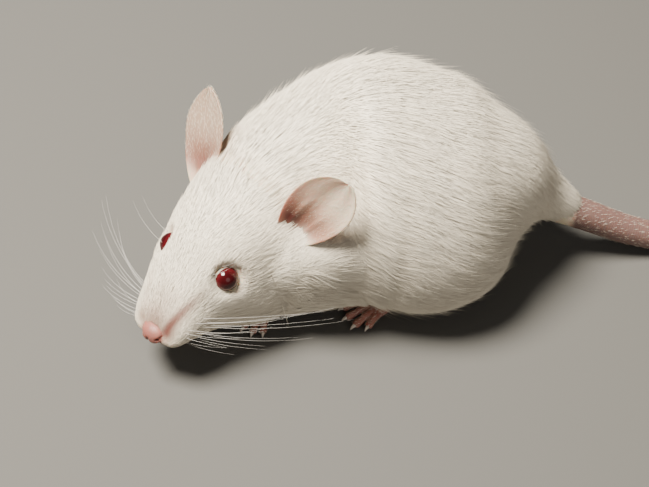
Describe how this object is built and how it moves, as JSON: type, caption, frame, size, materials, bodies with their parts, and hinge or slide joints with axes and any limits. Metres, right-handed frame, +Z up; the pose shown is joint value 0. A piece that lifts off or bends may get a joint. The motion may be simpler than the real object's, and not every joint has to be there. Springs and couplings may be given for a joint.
{
  "type": "mouse",
  "caption": "White pet mouse with a pointed muzzle, cupped round ears, red eyes and a long bare tail, standing with its head turned to one side and down.",
  "frame": {"origin": "on the floor, under the middle of the whole mouse's bounding box", "axes": "+X along the body towards the tail, +Y to the right side of the body, +Z up"},
  "size_m": [0.129, 0.0438, 0.0311],
  "materials": {
    "fur": "soft short coat",
    "bare_skin": "satin",
    "ear_skin": "matte, finely haired",
    "eye": "wet gloss"
  },
  "bodies": {
    "root": {"nose": "bare_skin", "head": "fur", "lower_jaw": "fur", "neck": "fur", "trunk": "fur", "rump": "fur", "ear_left": "ear_skin", "ear_right": "ear_skin", "eye_left": "eye", "eye_right": "eye", "foreleg_left": "fur", "foreleg_right": "fur", "forefoot_left": "bare_skin", "forefoot_right": "bare_skin", "hindleg_left": "fur", "hindleg_right": "fur", "hindfoot_left": "bare_skin", "hindfoot_right": "bare_skin", "tail_1": "bare_skin", "tail_2": "bare_skin", "tail_3": "bare_skin", "tail_4": "bare_skin"}
  },
  "joints": []
}
